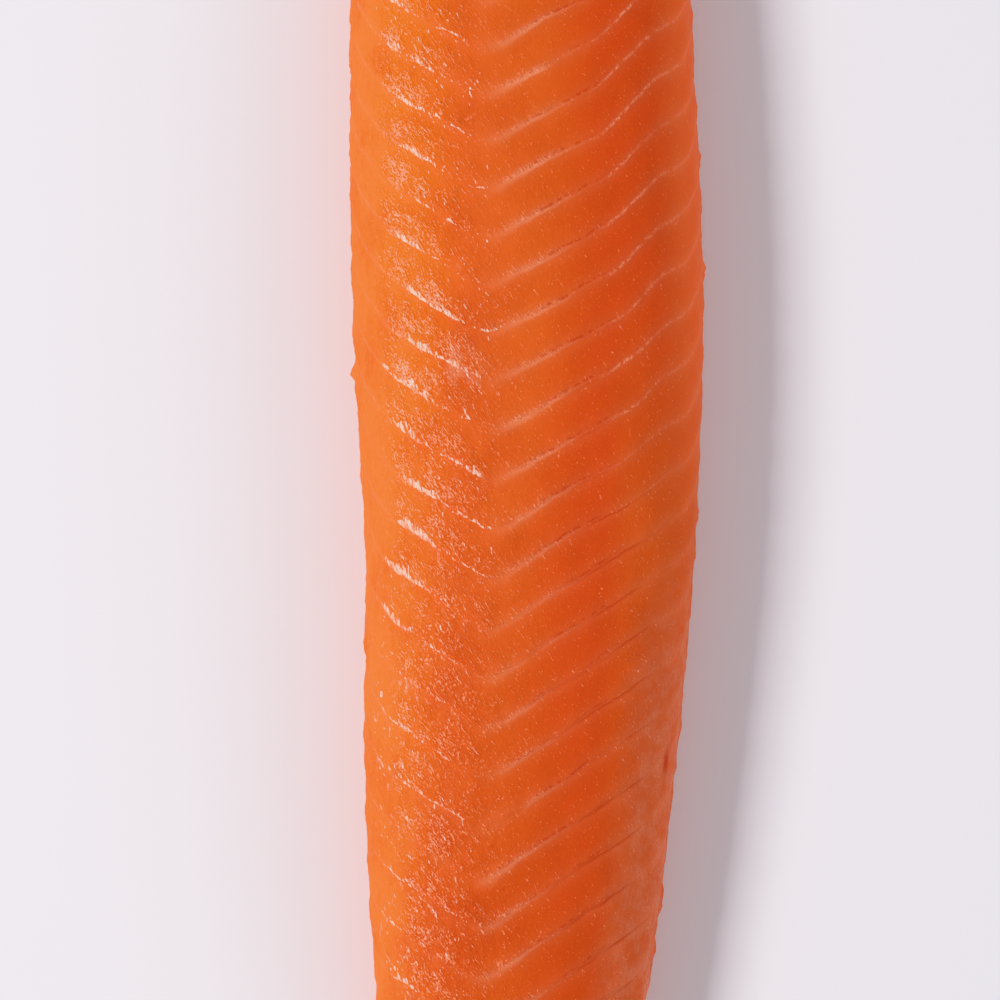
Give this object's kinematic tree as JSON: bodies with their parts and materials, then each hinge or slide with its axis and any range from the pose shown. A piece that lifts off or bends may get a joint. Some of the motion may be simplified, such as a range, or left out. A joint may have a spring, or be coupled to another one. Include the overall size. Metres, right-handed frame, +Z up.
{
  "type": "steelhead trout loin",
  "caption": "Raw skinless trout loin: a long orange strip with a domed top, chevron flakes, a flat underside and knife-cut ends, tapering towards the tail.",
  "frame": {"origin": "middle of the loin's box, on the surface that it lies on", "axes": "+Y along the loin to the head end, +X across it to the thin side, +Z up out of the domed top"},
  "size_m": [0.0606, 0.3018, 0.0272],
  "materials": {
    "raw_trout": "satin"
  },
  "bodies": {
    "root": {"loin": "raw_trout"}
  },
  "joints": []
}
